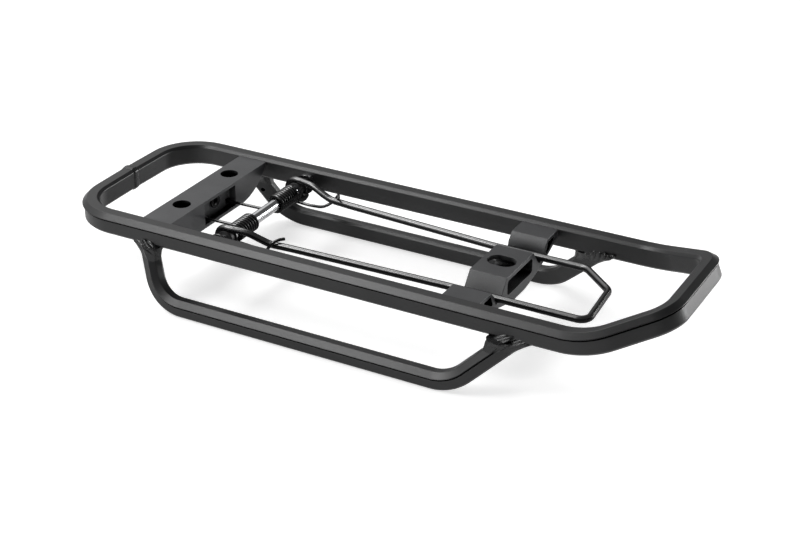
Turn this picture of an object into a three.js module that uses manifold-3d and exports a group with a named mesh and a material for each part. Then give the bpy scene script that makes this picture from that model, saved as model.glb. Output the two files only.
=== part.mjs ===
// Bicycle rear rack: a closed top frame of profiled tube, two side loops to hang bags on, a front
// crossbeam, a rear bracket and a sprung wire bow that clamps the load.
// Millimetres, +Z up. The front end points to -X. The origin is at the middle of the footprint,
// on the ground line under the side loops.
import * as THREE from 'three';
import { mergeVertices } from 'three/addons/utils/BufferGeometryUtils.js';
import Module from 'manifold-3d';

const wasm = await Module();
wasm.setup();

// ---------------------------------------------------------------- driving dimensions
const MIDDLE_X = 0.984;              // middle of the rack's length in the layout below
const GAP = 0.3;                     // gap left between welded neighbours

const RAIL_TOP = 56.9;               // top flat of the rails above the ground line
const RAIL_GAUGE = 67.25;            // centreline of a rail to the centre plane
const RAIL = {
  width: 12.5, height: 15.5, outerChamfer: 3.5, innerChamfer: 1.9, lip: 1.2, foot: 1.8, wall: 2,
};
const FRONT_X = -215;                // centreline of the front cross run at the corners
const FRONT_CROWN = 1;               // how far the front run bows forward in the middle
const FRONT_RADIUS = 33;             // corner radius, at the centreline
const TAIL_BEND_X = 172.5;           // where the rails turn inward and upward
const TAIL_BEND_RADIUS = 44;
const TAIL_BEND_RUN = 15;            // half the length of that bend along X
const TAIL_X = 215.5;                // rear cross run
const TAIL_GAUGE = 40;               // half width of the tail at its corners
const TAIL_RADIUS = 22.4;
const TAIL_RISE = 17.4;              // height of the rear run above the rails
const SEAM_GAP = 1.6;                // butt seam in the middle of the front run
const SEAM_COLLAR = 1.1;             // how far the seam's weld stands out of the tube
const SEAM_COLLAR_WIDTH = 6;
const SEAM_FIT = 0.15;               // clearance of that weld round the tube
const SEAM_END_GAP = 0.2;            // clearance of the metal between the two tube ends

const LOOP = {
  width: 10.6, height: 12.5, outerChamfer: 3.6, innerChamfer: 1.9, lip: 1, foot: 1.6, wall: 1.8,
};
const LOOP_GAUGE = 82.4;             // centreline of a loop's lower bar to the centre plane
const LOOP_FRONT_X = -132.5;         // corners of the lower bar before rounding
const LOOP_REAR_X = 91;
const LEG_FRONT_X = -150;            // legs where they meet the rails
const LEG_REAR_X = 128;
const LEG_GAUGE = 68;
const LOOP_FRONT_RADIUS = 28;
const LOOP_REAR_RADIUS = 30;
const LEG_OVERRUN = 6;               // a leg is drawn this far past the rail, then cut level
const VENT_RADIUS = 1.6;

const BEAM_FRONT_X = -159.1;         // front crossbeam
const BEAM_REAR_X = -136;
const BEAM_DROP = 1.9;               // its top lies this far under the rail tops
const BEAM_DEPTH = 20.6;
const BEAM_WALL = 2.4;
const BEAM_FLOOR_HALF = 24;          // half width of the level part of its floor
const BEAM_FLOOR_BEND = 47;          // where the floor would turn up if it were not curved
const BEAM_END_DEPTH = 1.6;          // its depth where it meets a rail
const BEAM_HOLE_X = -148;
const BEAM_HOLE_GAUGE = 30;
const BEAM_HOLE_RADIUS = 6.5;

const BRACKET_FRONT_X = 73;          // rear bracket
const BRACKET_REAR_X = 100;
const BRACKET_DROP = 1.9;
const BRACKET_DEPTH = 21.7;
const BRACKET_FLOOR_HALF = 8;        // half width of the level part of its floor
const BRACKET_FLOOR_BEND = { gauge: 36, depth: 17.6 };
const BRACKET_END_DEPTH = 5.1;       // its depth where it meets a rail
const SLOT_LENGTH = 20;
const SLOT_WIDTH = 14.6;
const SLOT_DEPTH = 4.4;              // through the wall above the cell

const AXLE_X = -99.5;                // pivot of the bow
const AXLE_Z = RAIL_TOP - 10;
const AXLE_RADIUS = 4.2;
const RUNNING_FIT = 0.06;

const BOW_WIRE = 5;                  // wire diameter of the bow
const EYE_GAUGE = 45.5;              // middle of an eye to the centre plane
const EYE_RADIUS = 7.5;              // centreline of the eye
const SPRING_WIRE = 2.2;
const COIL_RADIUS = 5.8;             // centreline of the torsion coil
const COIL_INNER = 16;               // its first turn, from the centre plane
const COIL_OUTER = 35.2;             // its last turn
const COIL_TURNS = 7;
const HOOK_GAUGE = 37.7;             // start of the hook leg, from the centre plane
const FRONT_LEG_Z = RAIL_TOP - 16.4; // height of the spring legs held in the crossbeam
const FRONT_LEG_REACH = 6;           // how far such a leg runs either side of the web
// Bends of the hook leg: [behind the axle, outward of its start, above the bottom of the coil].
const HOOK_BENDS = [
  [5, 0, 0], [17, 0.7, -0.5], [24.5, 2.7, -0.4], [29.5, 5.8, 2.2],
  [33, 6.9, 6.2], [35.8, 5.6, 9.9], [38.3, 1.9, 10.9], [40.3, -1.8, 10.5],
];
// Bends of an arched arm of the bow: [behind the axle, from the centre plane, under the rail tops].
const ARM_BENDS = [[4.6, 45.1, 2.6], [15, 43.4, 3.6], [24.5, 41.6, 7], [32, 40.6, 9.2], [42, 39.6, 9.5]];
const BOW_RUN = { behindAxle: 48, gauge: 39.1, drop: 9.6 };  // start of the converging runs
const BOW_DROP = 11;                 // bow wires under the rail tops, from the bracket rearward
const BOW_BEND_X = 64;               // where the converging runs turn parallel
const HANDLE = { leftX: 161.5, rightX: 133, tipX: 158, tipGauge: 11 };  // corners of the handle
const BOW_RADII = [60, 10, 9, 7, 60]; // bend radii from the right run round to the left run

const FRONT_WELD = [-160.5, -137.5];  // front leg weld along X
const REAR_WELD = [111.5, 142];        // rear leg weld along X
const WELD_HEIGHT = 3;               // height of a leg weld's sloping part
const WELD_RIM = 1;                  // height of its upright rim under the rail
const WELD_SLOPE = 2;                // how far that slope narrows
const WELD_OVERHANG = 1.2;           // how far it stands out past the sides of the rail
const WELD_FIT = 0.2;                // clearance round the leg
const VENT_X = -144;                 // vent hole in the inner wall of each front leg
const VENT_Y = 73;
const VENT_Z = 28;

const BEAM_CELL_HALF = 51;           // half width of the cell in the crossbeam
const BEAM_CELL_TIP = 0.3;           // how far the cell's floor stops short of its ceiling there
const BEAM_CELL_CORNER = 1;          // corner cut off the cell's tip
const WEB_END = BEAM_CELL_HALF - 3;  // half width of the web in the cell
const RECESS_X = -141.3;             // rear face of the web in the middle of the crossbeam
const RECESS_HALF = 19.5;            // half width of that recess at the rear
const RECESS_FLOOR_HALF = 17.6;      // half width of its far end
const WEB_THICKNESS = 2;
const NOTCH = 4;                     // notch in the web for a spring leg
const INSERT_RADIUS = 4;
const INSERT_BORE = 2.6;
const INSERT_FLANGE = 5.2;
const INSERT_FLANGE_HEIGHT = 1.6;
const INSERT_LENGTH = 5;
const INSERT_Z = RAIL_TOP - 9.8;

const BRACKET_TOP_HALF = 20.5;       // half width of the raised middle of the rear bracket
const TAB_INNER = 44.4;              // inner edge of its side tabs
const VALLEY_DEPTH = 12.1;           // depth of its valleys below its top
const VALLEY_BEND = { gauge: 39.2, depth: 5.4 };  // where a tab's slope steepens into the valley
const VALLEY_OUTER = { gauge: 37.6, radius: 1.6, floor: 36.4 };
const VALLEY_INNER = { gauge: 29.4, radius: 1, floor: 30.8 };
const MIDDLE_CELL = { half: 19.3, top: 3.2, bottom: 13.8, radius: 2.5 };
const TAB_CELL = [[44.6, -2.5], [56.5, -2.5], [46.5, -8.7], [41, -10.5]];  // its four corners
const BOW_GAUGE = 33.5;              // bow wires to the centre plane at the bracket
const NUT_HEIGHT = 4;
const NUT_RADIUS = 6.9;              // across the corners
const WASHER_HEIGHT = 1.4;
const WASHER_RADIUS = 7.4;
const STACK_GAP = 0.2;               // between nut and washer
const NUT_FIT = 0.1;                 // radial clearance of nuts and washers on the axle
const FLANGE_RADIUS = 6.2;           // of the bushes in the eyes
const FLANGE_THICKNESS = 0.8;
const FLANGE_SEAT = 0.1;             // how far a flange is let into the eye's round
const SLEEVE_FIT = 0.15;             // between a bush and its eye

// ---------------------------------------------------------------- helpers
const UP = new THREE.Vector3(0, 0, 1);

/** A merged, indexed copy of a geometry as a manifold solid. */
function solid(geometry) {
  const g = geometry.clone();
  for (const name of Object.keys(g.attributes)) {
    if (name !== 'position') g.deleteAttribute(name);
  }
  const merged = mergeVertices(g, 1e-4);
  return new wasm.Manifold(new wasm.Mesh({
    numProp: 3,
    vertProperties: new Float32Array(merged.attributes.position.array),
    triVerts: new Uint32Array(merged.index.array),
  }));
}

/** A manifold solid as a buffer geometry. */
function geometryOf(body) {
  const mesh = body.getMesh();
  const g = new THREE.BufferGeometry();
  g.setAttribute('position', new THREE.BufferAttribute(new Float32Array(mesh.vertProperties), 3));
  g.setIndex(new THREE.BufferAttribute(new Uint32Array(mesh.triVerts), 1));
  return g;
}

/** A polyline through the corners, each rounded by an arc of its radius, as a list of points. */
function roundedRoute(corners, radii, degreesPerStep = 9) {
  const route = [corners[0].clone()];
  for (let i = 1; i < corners.length - 1; i += 1) {
    const corner = corners[i];
    const back = corners[i - 1].clone().sub(corner).normalize();
    const ahead = corners[i + 1].clone().sub(corner).normalize();
    const turn = Math.PI - back.angleTo(ahead);
    const run = radii[i - 1] * Math.tan(turn / 2);
    const inward = back.clone().add(ahead).normalize();
    const centre = inward.multiplyScalar(radii[i - 1] / Math.cos(turn / 2)).add(corner);
    const from = corner.clone().addScaledVector(back, run).sub(centre);
    const to = corner.clone().addScaledVector(ahead, run).sub(centre);
    const axis = new THREE.Vector3().crossVectors(from, to).normalize();
    const steps = Math.max(2, Math.ceil(THREE.MathUtils.radToDeg(turn) / degreesPerStep));
    for (let k = 0; k <= steps; k += 1) {
      route.push(from.clone().applyAxisAngle(axis, (turn * k) / steps).add(centre));
    }
  }
  route.push(corners[corners.length - 1].clone());
  return route;
}

/** Unit tangents of a polyline, halfway between its two legs at each point. */
function tangentsOf(points) {
  return points.map((p, i) => {
    const before = points[Math.max(i - 1, 0)];
    const after = points[Math.min(i + 1, points.length - 1)];
    const a = p.clone().sub(before).normalize();
    const b = after.clone().sub(p).normalize();
    return a.add(b).normalize();
  });
}

/** Up directions that turn with the route and never twist about it, from a start at one point. */
function carriedUps(points, startIndex, startUp) {
  const tangents = tangentsOf(points);
  const ups = new Array(points.length);
  ups[startIndex] = startUp.clone();
  const turn = new THREE.Quaternion();
  for (const step of [1, -1]) {
    for (let i = startIndex + step; i >= 0 && i < points.length; i += step) {
      turn.setFromUnitVectors(tangents[i - step], tangents[i]);
      ups[i] = ups[i - step].clone().applyQuaternion(turn);
    }
  }
  return ups;
}

/** Sweeps a section along points; the section's y follows the ups and its x lies across. */
function sweep(section, points, ups, curveSegments = 6) {
  const tangents = tangentsOf(points);
  const squared = (up, tangent) => up.clone().addScaledVector(tangent, -up.dot(tangent)).normalize();
  const binormals = ups.map((up, i) => squared(up, tangents[i]));
  const normals = binormals.map((b, i) => new THREE.Vector3().crossVectors(b, tangents[i]));
  const path = new THREE.CatmullRomCurve3(points);
  path.getSpacedPoints = () => points;
  path.computeFrenetFrames = () => ({ tangents, normals, binormals });
  return new THREE.ExtrudeGeometry(section, { steps: points.length - 1, extrudePath: path, curveSegments });
}

/** A round wire swept along points. */
function wire(points, diameter, sides = 8) {
  const section = new THREE.Shape();
  section.absarc(0, 0, diameter / 2, 0, 2 * Math.PI, false);
  const first = tangentsOf(points)[0];
  const start = Math.abs(first.z) < 0.9 ? UP.clone() : new THREE.Vector3(1, 0, 0);
  start.addScaledVector(first, -start.dot(first)).normalize();
  return sweep(section, points, carriedUps(points, 0, start), sides);
}

/** The profiled tube section: x points away from the rack, y up, and its top flat lies on y = 0. */
function tubeSection({ width, height, outerChamfer, innerChamfer, lip, foot, wall }) {
  const side = width / 2;
  const face = side - lip;
  const section = new THREE.Shape();
  section.moveTo(side - outerChamfer, 0);
  section.lineTo(innerChamfer - side, 0);
  section.lineTo(-side, -innerChamfer);
  section.lineTo(-side, foot - height);
  section.lineTo(foot - side, -height);
  section.lineTo(face - foot, -height);
  section.lineTo(face, foot - height);
  section.lineTo(face, -outerChamfer - lip);
  section.lineTo(side, -outerChamfer);
  section.closePath();

  const slant = wall * Math.SQRT2;
  const bore = new THREE.Path();
  bore.moveTo(side - outerChamfer - slant + wall, -wall);
  bore.lineTo(face - wall, side - outerChamfer - slant - face + wall);
  bore.lineTo(face - wall, wall - height);
  bore.lineTo(wall - side, wall - height);
  bore.lineTo(wall - side, wall - innerChamfer - slant);
  bore.lineTo(slant - wall + innerChamfer - side, -wall);
  bore.closePath();
  section.holes.push(bore);
  return section;
}

/** A profile drawn in the lateral plane (x across, y up), drawn out along X between two places. */
function profileAlongX(shape, fromX, toX, curveSegments = 8) {
  const g = new THREE.ExtrudeGeometry(shape, { depth: toX - fromX, bevelEnabled: false, curveSegments });
  g.rotateX(Math.PI / 2);
  g.rotateZ(Math.PI / 2);
  g.translate(fromX, 0, 0);
  return g;
}

/** A ring turned about the Y axis from an outline of [radius, distance along Y]. */
function turned(outline, sides = 24) {
  const closed = [...outline, outline[0]];
  return new THREE.LatheGeometry(closed.map((p) => new THREE.Vector2(...p)), sides);
}

/** A plain cylinder about the Y axis, centred on the origin. */
function rod(radius, length, sides = 24) {
  return new THREE.CylinderGeometry(radius, radius, length, sides);
}

const RAIL_INNER = RAIL_GAUGE - RAIL.width / 2;
const RAIL_BOTTOM = RAIL_TOP - RAIL.height;

/** Up direction of the top frame along X: upright on the rails, square to the tail's ramp. */
function frameUp(x) {
  const ramp = Math.atan2(TAIL_RISE, TAIL_X - TAIL_BEND_X);
  const [start, end] = [TAIL_BEND_X - TAIL_BEND_RUN, TAIL_BEND_X + TAIL_BEND_RUN];
  const angle = ramp * THREE.MathUtils.smoothstep(x, start, end);
  return new THREE.Vector3(-Math.sin(angle), 0, Math.cos(angle));
}

/** The top frame: one hollow tube from the seam round the right rail, the tail and the left rail. */
function topFrameTube() {
  const middle = FRONT_X - FRONT_CROWN;
  const corners = [
    [middle, SEAM_GAP / 2, 0], [FRONT_X, RAIL_GAUGE, 0], [TAIL_BEND_X, RAIL_GAUGE, 0],
    [TAIL_X, TAIL_GAUGE, TAIL_RISE], [TAIL_X, -TAIL_GAUGE, TAIL_RISE],
    [TAIL_BEND_X, -RAIL_GAUGE, 0], [FRONT_X, -RAIL_GAUGE, 0], [middle, -SEAM_GAP / 2, 0],
  ].map(([x, y, z]) => new THREE.Vector3(x, y, RAIL_TOP + z));
  const radii = [FRONT_RADIUS, TAIL_BEND_RADIUS, TAIL_RADIUS, TAIL_RADIUS, TAIL_BEND_RADIUS, FRONT_RADIUS];
  const points = roundedRoute(corners, radii, 7.5);
  return sweep(tubeSection(RAIL), points, points.map((p) => frameUp(p.x)));
}

/** A section moved up its own y axis, bore and all. */
function raisedSection(section, height) {
  const raise = (path) => path.getPoints().map((p) => new THREE.Vector2(p.x, p.y + height));
  const moved = new THREE.Shape(raise(section));
  moved.holes = section.holes.map((hole) => new THREE.Path(raise(hole)));
  return moved;
}

/** Points and up directions of one side loop: leg, lower bar, leg. side is 1 right, -1 left. */
function loopRoute(side) {
  const barZ = LOOP.height / 2;
  const overrun = LEG_OVERRUN / (RAIL_BOTTOM - barZ);
  const leg = (legX, cornerX) => [
    legX + (legX - cornerX) * overrun,
    side * (LEG_GAUGE + (LEG_GAUGE - LOOP_GAUGE) * overrun),
    RAIL_BOTTOM + LEG_OVERRUN,
  ];
  const corners = [
    leg(LEG_FRONT_X, LOOP_FRONT_X), [LOOP_FRONT_X, side * LOOP_GAUGE, barZ],
    [LOOP_REAR_X, side * LOOP_GAUGE, barZ], leg(LEG_REAR_X, LOOP_REAR_X),
  ].map((c) => new THREE.Vector3(...c));
  const radii = [LOOP_FRONT_RADIUS, LOOP_REAR_RADIUS];
  if (side < 0) {
    corners.reverse();
    radii.reverse();
  }
  const points = roundedRoute(corners, radii);
  const barLength = (LOOP_REAR_X - LOOP_FRONT_X) / 2;
  const barStart = points.findIndex((p, i) => points[i + 1].distanceTo(p) > barLength);
  return { points, ups: carriedUps(points, barStart, UP) };
}

/** Half space above the underside of the rails, less a gap. */
function aboveRailUnderside() {
  const [length, width, height] = [600, 300, 60];
  const slab = new THREE.BoxGeometry(length, width, height);
  slab.translate(0, 0, RAIL_BOTTOM - GAP + height / 2);
  return solid(slab);
}

/** A side loop of hollow tube, its legs cut level just under the rail, with a vent hole. */
function sideLoop(side) {
  const { points, ups } = loopRoute(side);
  const vent = new THREE.CylinderGeometry(VENT_RADIUS, VENT_RADIUS, LOOP.width, 12);
  vent.translate(VENT_X, side * (VENT_Y - LOOP.width / 2), VENT_Z);
  const tube = solid(sweep(raisedSection(tubeSection(LOOP), LOOP.height / 2), points, ups));
  return geometryOf(tube.subtract(aboveRailUnderside()).subtract(solid(vent)));
}

/** A tube section without its bore, grown all round. */
function grownSection(dimensions, grow) {
  const width = dimensions.width + 2 * grow;
  const wide = { ...dimensions, width, height: dimensions.height + 2 * grow };
  return raisedSection(new THREE.Shape(tubeSection(wide).getPoints()), grow);
}

/** The weld round the top of a leg, under the rail, between two places along X. */
function legWeld(side, fromX, toX) {
  const { points, ups } = loopRoute(side);
  const halfX = (toX - fromX) / 2;
  const halfY = RAIL.width / 2 + WELD_OVERHANG;
  const outline = new THREE.Shape();
  outline.moveTo(halfY - halfX, -halfY);
  outline.lineTo(halfX - halfY, -halfY);
  outline.absarc(halfX - halfY, 0, halfY, -Math.PI / 2, Math.PI / 2, false);
  outline.lineTo(halfY - halfX, halfY);
  outline.absarc(halfY - halfX, 0, halfY, Math.PI / 2, Math.PI * 1.5, false);
  const plinth = new THREE.ExtrudeGeometry(outline, {
    depth: WELD_RIM,
    bevelThickness: WELD_HEIGHT,
    bevelSize: WELD_SLOPE,
    bevelOffset: -WELD_SLOPE,
    bevelSegments: 3,
    curveSegments: 6,
  });
  plinth.translate((fromX + toX) / 2, side * LEG_GAUGE, RAIL_BOTTOM - GAP - WELD_RIM);
  const leg = solid(sweep(raisedSection(grownSection(LOOP, WELD_FIT), LOOP.height / 2), points, ups));
  return geometryOf(solid(plinth).subtract(aboveRailUnderside()).subtract(leg));
}

/** The weld at the front seam: a low collar round the tube and the metal that fills the seam. */
function frontSeamWeld() {
  const across = (section, length) => {
    const g = new THREE.ExtrudeGeometry(section, { depth: length, bevelEnabled: false });
    g.translate(0, 0, -length / 2);
    g.rotateX(Math.PI / 2);
    g.rotateZ(Math.PI);
    return g;
  };
  const place = [FRONT_X - FRONT_CROWN, 0, RAIL_TOP];
  const collar = solid(across(grownSection(RAIL, SEAM_COLLAR), SEAM_COLLAR_WIDTH)).translate(place);
  const length = 2 * SEAM_COLLAR_WIDTH;
  const away = length / 2 + SEAM_GAP / 2 - SEAM_END_GAP;
  const tubeEnd = (way) => solid(across(grownSection(RAIL, SEAM_FIT), length))
    .translate([place[0], way * away, place[2]]);
  return geometryOf(collar.subtract(tubeEnd(1)).subtract(tubeEnd(-1)));
}

// ---------------------------------------------------------------- crossbeam and bracket
/** Mirrors the points of the right half of an outline to the left half, ready to close. */
function mirrored(half) {
  return [...half, ...half.slice().reverse().map((p) => new THREE.Vector2(-p.x, p.y))];
}

/** Points on a quadratic curve in the lateral plane. */
function curve(from, bend, to, pieces) {
  const v = (p) => new THREE.Vector2(...p);
  return new THREE.QuadraticBezierCurve(v(from), v(bend), v(to)).getPoints(pieces);
}

/** Outline of the crossbeam's cell, or of the whole beam where inset is 0. Its top is y = 0. */
function beamOutline(inset) {
  const end = inset ? BEAM_CELL_HALF : RAIL_INNER - GAP;
  const tip = [end, inset ? -inset - BEAM_CELL_TIP : -BEAM_END_DEPTH];
  const bottom = inset - BEAM_DEPTH;
  const flat = BEAM_FLOOR_HALF - inset / 2;
  const right = curve([flat, bottom], [BEAM_FLOOR_BEND - 2 * inset, bottom], tip, 7);
  right.push(new THREE.Vector2(end - (inset ? BEAM_CELL_CORNER : 0), -inset));
  return new THREE.Shape(mirrored(right));
}

/** The front crossbeam: a cell open to the rear, flat on top, its floor curving up to the rails. */
function frontCrossbeam() {
  const top = RAIL_TOP - BEAM_DROP;
  const block = solid(profileAlongX(beamOutline(0), BEAM_FRONT_X, BEAM_REAR_X));
  const cell = solid(profileAlongX(beamOutline(BEAM_WALL), BEAM_FRONT_X + BEAM_WALL, BEAM_REAR_X + 1));
  let beam = block.subtract(cell).translate([0, 0, top]);
  for (const side of [1, -1]) {
    const drill = new THREE.CylinderGeometry(BEAM_HOLE_RADIUS, BEAM_HOLE_RADIUS, 3 * BEAM_WALL, 32);
    drill.rotateX(Math.PI / 2);
    drill.translate(BEAM_HOLE_X, side * BEAM_HOLE_GAUGE, top);
    beam = beam.subtract(solid(drill));
  }
  return geometryOf(beam);
}

/** The web that closes the crossbeam's cell: level with its rear edge, set back in the middle. */
function crossbeamWeb() {
  const t = WEB_THICKNESS;
  const rear = [[RECESS_X, RECESS_FLOOR_HALF], [BEAM_REAR_X, RECESS_HALF], [BEAM_REAR_X, WEB_END]];
  const front = [
    [BEAM_REAR_X - t, WEB_END], [BEAM_REAR_X - t, RECESS_HALF + t],
    [RECESS_X - t, RECESS_FLOOR_HALF + t],
  ];
  const right = [...rear, ...front].map(([x, y]) => new THREE.Vector2(x, y));
  const left = right.map((p) => new THREE.Vector2(p.x, -p.y)).reverse();
  const plan = new THREE.Shape([...right, ...left]);
  const wall = new THREE.ExtrudeGeometry(plan, { depth: BEAM_DEPTH, bevelEnabled: false });
  wall.translate(0, 0, RAIL_TOP - BEAM_DROP - BEAM_DEPTH);
  const room = solid(profileAlongX(beamOutline(BEAM_WALL + GAP), BEAM_FRONT_X, BEAM_REAR_X))
    .translate([0, 0, RAIL_TOP - BEAM_DROP]);
  let web = solid(wall).intersect(room);
  for (const side of [1, -1]) {
    const notch = new THREE.BoxGeometry(3 * t, NOTCH, NOTCH);
    notch.translate(RECESS_X - t, side * COIL_INNER, FRONT_LEG_Z);
    web = web.subtract(solid(notch));
  }
  const bore = new THREE.CylinderGeometry(INSERT_RADIUS + GAP, INSERT_RADIUS + GAP, 6 * t, 24);
  bore.rotateZ(Math.PI / 2);
  bore.translate(RECESS_X, 0, INSERT_Z);
  return geometryOf(web.subtract(solid(bore)));
}

/** The steel insert in the middle of the web, with a flange on its rear side. */
function centreInsert() {
  const g = turned([
    [INSERT_BORE, -INSERT_LENGTH], [INSERT_RADIUS, -INSERT_LENGTH], [INSERT_RADIUS, GAP],
    [INSERT_FLANGE, GAP], [INSERT_FLANGE, INSERT_FLANGE_HEIGHT], [INSERT_BORE, INSERT_FLANGE_HEIGHT],
  ]);
  g.rotateZ(-Math.PI / 2);
  return g;
}

/** The rear bracket: a raised middle with a slot, a valley for each bow wire, a tab at each rail. */
function rearBracket() {
  const end = RAIL_INNER - GAP;
  const v = (x, y) => new THREE.Vector2(x, y);
  const floorBend = [BRACKET_FLOOR_BEND.gauge, -BRACKET_FLOOR_BEND.depth];
  const underside = curve([BRACKET_FLOOR_HALF, -BRACKET_DEPTH], floorBend, [end, -BRACKET_END_DEPTH], 7);
  const outline = new THREE.Shape(mirrored([
    ...underside,
    v(end, 0),
    v(TAB_INNER, 0),
    v(VALLEY_BEND.gauge, -VALLEY_BEND.depth),
    v(VALLEY_OUTER.gauge, VALLEY_OUTER.radius - VALLEY_DEPTH),
    v(VALLEY_OUTER.floor, -VALLEY_DEPTH),
    v(VALLEY_INNER.floor, -VALLEY_DEPTH),
    v(VALLEY_INNER.gauge, VALLEY_INNER.radius - VALLEY_DEPTH),
    v(BRACKET_TOP_HALF, 0),
  ]));
  outline.holes.push(middleCell());
  for (const side of [1, -1]) {
    outline.holes.push(new THREE.Path(TAB_CELL.map(([x, y]) => v(side * x, y))));
  }
  const body = solid(profileAlongX(outline, BRACKET_FRONT_X, BRACKET_REAR_X, 4));
  const slotShape = new THREE.Shape();
  const run = (SLOT_LENGTH - SLOT_WIDTH) / 2;
  slotShape.absarc(run, 0, SLOT_WIDTH / 2, -Math.PI / 2, Math.PI / 2, false);
  slotShape.absarc(-run, 0, SLOT_WIDTH / 2, Math.PI / 2, Math.PI * 1.5, false);
  const options = { depth: SLOT_DEPTH + GAP, bevelEnabled: false, curveSegments: 10 };
  const slot = new THREE.ExtrudeGeometry(slotShape, options);
  slot.translate((BRACKET_FRONT_X + BRACKET_REAR_X) / 2, 0, -SLOT_DEPTH);
  return geometryOf(body.subtract(solid(slot)).translate([0, 0, RAIL_TOP - BRACKET_DROP]));
}

/** The cell along the middle of the rear bracket, its corners rounded. */
function middleCell() {
  const { half, top, bottom, radius } = MIDDLE_CELL;
  const inner = half - radius;
  const cell = new THREE.Path();
  cell.moveTo(half, radius - bottom);
  cell.lineTo(half, -top - radius);
  cell.absarc(inner, -top - radius, radius, 0, Math.PI / 2, false);
  cell.lineTo(-inner, -top);
  cell.absarc(-inner, -top - radius, radius, Math.PI / 2, Math.PI, false);
  cell.lineTo(-half, radius - bottom);
  cell.absarc(-inner, radius - bottom, radius, Math.PI, Math.PI * 1.5, false);
  cell.lineTo(inner, -bottom);
  cell.absarc(inner, radius - bottom, radius, Math.PI * 1.5, Math.PI * 2, false);
  return cell;
}

// ---------------------------------------------------------------- pivot, springs and bow
/** A point at an angle round the axle; 0 points rearward and a quarter turn points up. */
function aroundAxle(radius, angle, y) {
  return new THREE.Vector3(AXLE_X + radius * Math.cos(angle), y, AXLE_Z + radius * Math.sin(angle));
}

/** Points of an arc round the axle, moving along Y as it goes. */
function axleArc(radius, fromAngle, toAngle, fromY, toY, pieces) {
  return Array.from({ length: pieces + 1 }, (_, i) => {
    const between = (from, to) => THREE.MathUtils.lerp(from, to, i / pieces);
    return aroundAxle(radius, between(fromAngle, toAngle), between(fromY, toY));
  });
}

/** Points on a smooth curve through the given ones. */
function smooth(points, pieces) {
  const v = points.map((p) => new THREE.Vector3(...p));
  return new THREE.CatmullRomCurve3(v, false, 'centripetal').getPoints(pieces);
}

/** The torsion spring: a front leg held in the crossbeam, then the coil round the axle. */
function torsionSpring(side) {
  const start = -Math.PI / 2;
  const leg = [RECESS_X - FRONT_LEG_REACH, RECESS_X + FRONT_LEG_REACH]
    .map((x) => new THREE.Vector3(x, side * COIL_INNER, FRONT_LEG_Z));
  const coil = axleArc(COIL_RADIUS, start, start + COIL_TURNS * 2 * Math.PI,
    side * COIL_INNER, side * COIL_OUTER, COIL_TURNS * 10);
  return wire([...leg, ...coil], SPRING_WIRE, 4);
}

/** The spring's other leg: under the bow wire, up its outer side and over its top. */
function springHook(side) {
  const low = AXLE_Z - COIL_RADIUS;
  const start = -Math.PI * 0.8;
  const arc = axleArc(COIL_RADIUS, start, -Math.PI / 2, side * HOOK_GAUGE, side * HOOK_GAUGE, 5);
  const place = ([behind, out, rise]) => [AXLE_X + behind, side * (HOOK_GAUGE + out), low + rise];
  return wire([...arc, ...smooth(HOOK_BENDS.map(place), 26)], SPRING_WIRE, 4);
}

/** The bow: an eye at each end, arched arms, two converging runs and a skewed handle. */
function springBow() {
  const low = RAIL_TOP - BOW_DROP;
  const eye = (side) => axleArc(EYE_RADIUS, -0.25, -1.55 * Math.PI, side * EYE_GAUGE, side * EYE_GAUGE, 22);
  const arm = (side) => smooth(
    ARM_BENDS.map(([behind, gauge, drop]) => [AXLE_X + behind, side * gauge, RAIL_TOP - drop]), 16);
  const runStart = (side) => [AXLE_X + BOW_RUN.behindAxle, side * BOW_RUN.gauge, RAIL_TOP - BOW_RUN.drop];
  const corners = [
    runStart(1), [BOW_BEND_X, BOW_GAUGE, low], [HANDLE.rightX, BOW_GAUGE, low],
    [HANDLE.tipX, HANDLE.tipGauge, low], [HANDLE.leftX, -BOW_GAUGE, low],
    [BOW_BEND_X, -BOW_GAUGE, low], runStart(-1),
  ].map((p) => new THREE.Vector3(...p));
  const run = roundedRoute(corners, BOW_RADII, 12);
  return wire([...eye(1), ...arm(1), ...run, ...arm(-1).reverse(), ...eye(-1).reverse()], BOW_WIRE, 5);
}

/** The flanged bush between an eye and the axle. */
function bowBush() {
  const bore = AXLE_RADIUS + RUNNING_FIT;
  const sleeve = EYE_RADIUS - BOW_WIRE / 2 - SLEEVE_FIT;
  const near = BOW_WIRE / 2 - FLANGE_SEAT;
  const far = near + FLANGE_THICKNESS;
  return turned([
    [bore, -far], [FLANGE_RADIUS, -far], [FLANGE_RADIUS, -near], [sleeve, -near],
    [sleeve, near], [FLANGE_RADIUS, near], [FLANGE_RADIUS, far], [bore, far],
  ], 32);
}

/** A hexagon nut for the axle. */
function axleNut() {
  const bore = solid(rod(AXLE_RADIUS + NUT_FIT, 2 * NUT_HEIGHT));
  return geometryOf(solid(rod(NUT_RADIUS, NUT_HEIGHT, 6)).subtract(bore));
}

/** The washer between a nut and an eye. */
function axleWasher() {
  const bore = AXLE_RADIUS + NUT_FIT;
  const half = WASHER_HEIGHT / 2;
  return turned([[bore, -half], [WASHER_RADIUS, -half], [WASHER_RADIUS, half], [bore, half]]);
}

// ---------------------------------------------------------------- assembly
/** A maker of fresh materials of one finish. */
const finish = (color, roughness, metalness) =>
  () => new THREE.MeshStandardMaterial({ color, roughness, metalness });

const blackCoat = finish(0x17181a, 0.55, 0.2);
const blackGloss = finish(0x0b0b0d, 0.22, 0.5);
const bareSteel = finish(0xb9bdc2, 0.3, 1);
const blackPolymer = finish(0x101112, 0.6, 0);

const AXLE = new THREE.Vector3(AXLE_X, 0, AXLE_Z);
const NUT_GAUGE = RAIL_INNER - GAP - NUT_HEIGHT / 2;
const WASHER_GAUGE = RAIL_INNER - GAP - NUT_HEIGHT - STACK_GAP - WASHER_HEIGHT / 2;

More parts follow.
